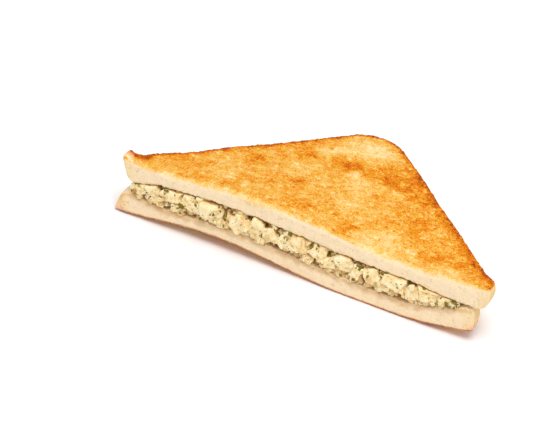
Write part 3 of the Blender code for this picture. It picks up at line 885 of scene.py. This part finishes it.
def makeDice(seed, levels, kept):
    # one diced piece: a cube whose corners were pushed about, rounded and given torn fibres
    shape, size = pieceShape, pieceShape["size"]
    draw = random.Random(seed)
    bpy.ops.mesh.primitive_cube_add(size=shape["cube"] * size)
    dice = bpy.context.object
    bpy.ops.object.mode_set(mode="EDIT")
    bpy.ops.mesh.select_all(action="SELECT")
    bpy.ops.mesh.subdivide(number_cuts=1)
    bpy.ops.transform.edge_crease(value=shape["crease"])
    bpy.ops.object.mode_set(mode="OBJECT")
    farthest, drawnIn = shape["farCorner"]
    for vertex in dice.data.vertices:
        vertex.co += Vector([draw.uniform(-shape["pushed"], shape["pushed"]) * size for _ in range(3)])
        if vertex.co.length > farthest * size:
            vertex.co *= drawnIn
    finishWith(dice, "SUBSURF", levels=levels, render_levels=levels)
    bpy.ops.object.empty_add(rotation=(draw.uniform(0, 3), draw.uniform(0, 3), draw.uniform(0, 3)))
    fibreWay = bpy.context.object
    before = pointsOf(dice)
    for kind, (grain, depth, stretch) in shape["relief"].items():
        fibreWay.scale = (stretch, 1, 1)
        fibreWay.location = [draw.uniform(0.1, 0.4) for _ in range(3)]
        bpy.context.view_layer.update()
        finishWith(dice, "DISPLACE", texture=reliefTexture(kind, grain), texture_coords="OBJECT",
                   texture_coords_object=fibreWay, strength=depth * mm, mid_level=0.5)
    bpy.data.objects.remove(fibreWay)
    keepRelief(dice, before)
    if kept < 1:
        finishWith(dice, "DECIMATE", ratio=kept)
    dice.data.shade_smooth()
    return dice


knifeFace = (Vector((0, cutY)), Vector((0, -1)))


def placeDice(master, x, y, z, size, turn, proud, tone, headroom=0.0, face=knifeFace):
    # a copy with its own mesh, pressed in by the knife and kept between the slices
    shape = pieceShape
    mesh = master.data.copy()
    scale = Matrix.Diagonal((*(s / shape["size"] for s in size), 1))
    mesh.transform(Matrix.Translation((x, y, z)) @ turn.to_matrix().to_4x4() @ scale)
    front = cutY - proud
    slack = shape["slack"]
    for vertex in mesh.vertices:
        place = vertex.co
        if place.y < front:
            place.y = front + shape["knifeShare"] * (place.y - front)
        room = roomAt(place.x, place.y)
        if room:
            top = max(room[1] - slack - headroom, between(room, shape["leastHeight"]))
            place.z = min(max(place.z, room[0] + slack), top)
    copy = newPiece("dice", mesh)
    # painted shade: the deeper a point lies behind the face, the more of the sauce brown it takes
    start, end, most = shape["sauceAndShade"]
    depths = [(face[0] - v.co.xy).dot(face[1]) / mm for v in mesh.vertices]
    keepValues(copy, "sauceAndShade", [most * softStep(start, end, depth) for depth in depths])
    keepValues(copy, "tone", [tone] * len(depths))
    return copy


def anyTurn(draw):
    return Euler([draw.uniform(0, fullTurn) for _ in range(3)])


frontShape = {
    "sunk": 0.36,  # of its depth, how far a piece is set into the filling
    "tilt": 0.3,  # radians at most, forward or back
    "swing": 0.35,  # and left or right
    "headroom": 1.3 * mm,  # the most that the row stays below the upper slice
    "headroomFrom": (-64, -40),  # mm, x where it sets in
    "tone": (-0.05, 0.15),  # from duller to paler, as in the other rows
}


def frontRow(draw, masters):
    shape = frontShape
    made = []
    for i, (x, z, width, height, turn, proud) in enumerate(shownPieces):
        depth = 0.5 * (width + height)
        size = (width * mm, depth * mm, height * mm)
        turned = Euler((draw.uniform(-shape["tilt"], shape["tilt"]), math.radians(-turn),
                        draw.uniform(-shape["swing"], shape["swing"])))
        y = cutY + (shape["sunk"] * depth - proud) * mm
        headroom = shape["headroom"] * draw.random() * softStep(*shape["headroomFrom"], x)
        made.append(placeDice(masters[i % len(masters)], x * mm, y, z * mm, size, turned, proud * mm,
                              draw.uniform(*shape["tone"]), headroom))
    return made


# lengths in mm
backShape = {
    "ends": (-61.0, 59),
    "depth": (3.4, 5.5),
    "size": (4.5, 7.0),
    "heights": (0.25, 0.7),  # of the room
    "step": 0.62,  # of a piece's size
    "tone": (-0.3, -0.05),
}


def backRow(draw, masters):
    # behind the first row, lower or higher, so that no gap between its pieces is empty
    shape = backShape
    made = []
    x, end = shape["ends"]
    while x < end:
        y = cutY + draw.uniform(*shape["depth"]) * mm
        room = roomAt(x * mm, y)
        tall = (room[1] - room[0]) / mm
        size = min(draw.uniform(*shape["size"]), tall)
        z = room[0] / mm + tall * draw.choice(shape["heights"])
        made.append(placeDice(draw.choice(masters), x * mm, y, z * mm, [size * mm] * 3, anyTurn(draw), 0,
                              draw.uniform(*shape["tone"])))
        x += size * shape["step"]
    return made


def legSpots(step):
    # places along the filling's two far edges, seen in the gap below the crust: (place, way out)
    filling = surfaceOf(frame["nodes"]["chicken_filling"])
    low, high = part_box("chicken_filling")
    corner = Vector(((low.x + high.x) / 2, high.y + 30 * mm))  # past the tip, so that the rays reach it too
    spots = []
    for end in (Vector((low.x - 10 * mm, low.y)), Vector((high.x + 10 * mm, low.y))):
        along = corner - end
        inward = Vector((along.y, -along.x)) if end.x < 0 else Vector((-along.y, along.x))
        inward.normalize()
        for i in range(int(along.length / step)):
            start = end + along.normalized() * step * (i + 0.5) - inward * 20 * mm
            for z in (low.z * 0.35 + high.z * 0.65, (low.z + high.z) / 2):
                place = filling.ray_cast(Vector((*start, z)), Vector((*inward, 0)))[0]
                if place is not None and place.y > cutY + 3 * mm:
                    spots.append((place, -inward))
                    break
    return spots


# lengths in mm
legShape = {"step": 4.2, "size": (4.0, 6.5), "proud": (0.0, 0.9), "tone": (-0.15, 0.1)}


def legRows(draw, masters):
    shape = legShape
    made = []
    for place, wayOut in legSpots(shape["step"] * mm):
        room = roomAt(place.x, place.y)
        if room is None or room[1] - room[0] < 0.8 * mm:
            continue
        size = min(draw.uniform(*shape["size"]) * mm, 1.6 * (room[1] - room[0]) + 1.5 * mm)
        centre = place.xy - wayOut * (size * 0.5 - draw.uniform(*shape["proud"]) * mm)
        made.append(placeDice(draw.choice(masters), *centre, sum(room) / 2, [size] * 3, anyTurn(draw), 0,
                              draw.uniform(*shape["tone"]), face=(place.xy, wayOut)))
    return made


def frontHit(trees, x, z, way=straightIn):
    # the first thing met from in front of the cut, on the way through its point (x, z)
    best = None
    for tree in trees:
        place, normal, _, distance = tree.ray_cast(Vector((x, cutY, z)) - way * 6 * mm, way)
        if place is not None and (best is None or distance < best[2]):
            best = (place, normal, distance)
    return best


# lengths in mm
tornShape = {
    "tries": 800,
    "ends": (-66, 62),
    "deep": (-0.6, 1.2),  # a gap has to be deeper than this
    "size": (0.9, 2.6),
    "stretch": (0.6, 1.5),
    "proud": (-0.2, 0.7),
    "legStep": 1.2,
    "legProud": (-1.0, 0.6),
    "tone": (-0.35, 0.1),
}


def tornBits(draw, masters, trees):
    # in the gaps between the dice, also along the far edges
    shape = tornShape
    spots = []
    for _ in range(shape["tries"]):
        x = draw.uniform(*shape["ends"]) * mm
        z = between(roomAt(x, cutY), draw.random())
        hit = frontHit(trees, x, z)
        if hit and hit[0].y > cutY + draw.uniform(*shape["deep"]) * mm:
            spots.append((x, min(hit[0].y, cutY + 3 * mm), z, knifeFace))
    for place, wayOut in legSpots(shape["legStep"] * mm):
        x, y = place.xy + wayOut * draw.uniform(*shape["legProud"]) * mm
        room = roomAt(x, y)
        if room and room[1] - room[0] > 0.5 * mm:
            spots.append((x, y, between(room, draw.random()), (place.xy, wayOut)))
    made = []
    for x, y, z, face in spots:
        room = roomAt(x, y)
        size = min(draw.uniform(*shape["size"]) * mm, room[1] - room[0])
        sizes = [size * draw.uniform(*shape["stretch"]) for _ in range(3)]
        made.append(placeDice(draw.choice(masters), x, y, z, sizes, anyTurn(draw),
                              draw.uniform(*shape["proud"]) * mm, draw.uniform(*shape["tone"]), face=face))
    return made


def finishChicken(made, name, material):
    count = len(made)
    piece = joinAll(made, name)
    piece.data.materials.append(material)
    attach(piece, "root")
    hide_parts("chicken_filling")
    reportPiece(piece, count)
    return piece


def buildChicken(core):
    draw = random.Random(pieceShape["seed"])
    shown, plain, torn = ([makeDice(seed + i, levels, kept) for i in range(count)]
                          for count, levels, seed, kept in pieceShape["masters"])
    material = poachedChicken()
    rows = frontRow(draw, shown) + backRow(draw, plain) + legRows(draw, plain)
    dice = finishChicken(rows, "chicken_dice", material)
    bits = tornBits(draw, torn, [surfaceOf(core), surfaceOf(dice)])
    shreds = finishChicken(bits, "chicken_shreds", material)
    for master in shown + plain + torn:
        bpy.data.objects.remove(master)
    return dice, shreds


mayonnaiseCore = buildCore()
fillingTrees = [surfaceOf(piece) for piece in (mayonnaiseCore, *buildChicken(mayonnaiseCore))]


# lengths in mm
herbShape = {
    "leaves": 4,  # modelled ones
    "loose": 130,
    "looseSize": (0.4, 1.5),
    "rise": 0.06,  # of its size, above what it lies on
    "seed": 5,
    "perClump": 5,
    "clumpSpread": (0.28, 0.22),  # of its size, along and up
    "clumpSizes": (0.35, 0.65),
    "sight": Vector((-0.424, 1, -0.714)).normalized(),  # the clumps' places were judged looking this way
    # the clumps that stand out: (x, z, size)
    "clumps": (
        (-64.8, 15.3, 2.2), (-59.9, 16.4, 2.6), (-53.2, 16.4, 2.2), (-46.3, 12.3, 2.6), (-38.3, 10.4, 2.2),
        (-2.8, 17.6, 2.8), (6.5, 16.2, 2.8), (25.2, 14.4, 2.4), (34.3, 15.8, 2.8), (50.0, 15.6, 2.2),
        (61.7, 14.1, 2.6), (-22.0, 14.0, 1.6), (13.6, 15.4, 2.2), (-8.0, 16.6, 2.0),
    ),
}

# lengths in mm
pepperShape = {
    "grains": 3,  # modelled ones
    "loose": 260,
    "looseSize": (0.2, 0.55),
    "rise": -0.1,
    "seed": 9,
}

# lengths in mm
scatterShape = {
    "row": (-67, 64),  # x of its ends
    "leastRoom": 1.5,
    "smallness": 2.2,  # the higher, the more small ones
    "deepest": 7,  # behind the cut
    "proud": 0.9,  # the most that anything stands out past the solids
    "tilt": 0.4,  # radians at most
    "narrowness": (0.6, 1.0),
}


def makeLeaf(index):
    # a scrap of leaf 1 mm long with a blunt tip, a lobe and a bend
    draw = random.Random(200 + index)
    bpy.ops.mesh.primitive_grid_add(x_subdivisions=5, y_subdivisions=3, size=1 * mm)
    leaf = bpy.context.object
    bend, lobe = draw.uniform(0.15, 0.35), draw.uniform(-0.3, 0.3)
    for vertex in leaf.data.vertices:
        x, y, _ = vertex.co / mm
        width = 0.75 * math.sqrt(max(0.05, 1 - (1.9 * x) ** 2)) + 0.15 * math.sin(9 * x + index)
        wave = bend * (x * x - y * y) + draw.uniform(-0.04, 0.04)
        vertex.co = Vector((x, y * width + lobe * x * x, wave)) * mm
    finishWith(leaf, "SOLIDIFY", thickness=0.12 * mm, offset=0)
    return leaf


def makeGrain(index):
    # a broken corn of pepper 1 mm across
    draw = random.Random(300 + index)
    bpy.ops.mesh.primitive_ico_sphere_add(subdivisions=1, radius=0.5 * mm)
    grain = bpy.context.object
    for vertex in grain.data.vertices:
        vertex.co *= draw.uniform(0.7, 1.2)
    return grain


def clumpSpots():
    # one broad leaf in the middle of a clump and smaller ones about it: (x, z, size, way in)
    shape = herbShape
    draw = random.Random(shape["seed"])
    spots = []
    along, up = shape["clumpSpread"]
    for x, z, size in shape["clumps"]:
        spots.append((x * mm, z * mm, size * mm, shape["sight"]))
        for _ in range(shape["perClump"]):
            spots.append((draw.gauss(x, along * size) * mm, draw.gauss(z, up * size) * mm,
                          size * draw.uniform(*shape["clumpSizes"]) * mm, shape["sight"]))
    return spots


def looseSpots(shape):
    draw = random.Random(shape["seed"])
    spots = []
    while len(spots) < shape["loose"]:
        x = draw.uniform(*scatterShape["row"]) * mm
        room = roomAt(x, cutY)
        if room and room[1] - room[0] > scatterShape["leastRoom"] * mm:
            size = between(shape["looseSize"], draw.random() ** scatterShape["smallness"])
            spots.append((x, draw.uniform(*room), size * mm, straightIn))
    return spots


def scatter(masters, spots, rise, name, material):
    # copies lie on the front of the filling, where the way through each spot meets it
    draw = random.Random(name)
    shape = scatterShape
    made = []
    for x, z, size, way in spots:
        hit = frontHit(fillingTrees, x, z, way)
        if hit is None or hit[0].y > cutY + shape["deepest"] * mm:
            continue
        place, normal, _ = hit
        tilts = [draw.uniform(-shape["tilt"], shape["tilt"]) for _ in range(2)]
        turn = normal.to_track_quat("Z", "Y") @ Euler((*tilts, draw.uniform(0, fullTurn))).to_quaternion()
        mesh = draw.choice(masters).data.copy()
        stretch = Matrix.Diagonal((size / mm, size / mm * draw.uniform(*shape["narrowness"]), size / mm, 1))
        mesh.transform(Matrix.Translation(place + normal * rise * size) @ turn.to_matrix().to_4x4() @ stretch)
        over = cadBounds[0][1] - shape["proud"] * mm - min(vertex.co.y for vertex in mesh.vertices)
        mesh.transform(Matrix.Translation((0, max(0.0, over), 0)))
        made.append(newPiece(name, mesh))
    for master in masters:
        bpy.data.objects.remove(master)
    count = len(made)
    piece = joinAll(made, name)
    piece.data.materials.append(material)
    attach(piece, "root")
    reportPiece(piece, count)


leaves = [makeLeaf(i) for i in range(herbShape["leaves"])]
scatter(leaves, clumpSpots() + looseSpots(herbShape), herbShape["rise"], "parsley_flakes", choppedParsley())
grains = [makeGrain(i) for i in range(pepperShape["grains"])]
scatter(grains, looseSpots(pepperShape), pepperShape["rise"], "pepper_grains", groundPepper())
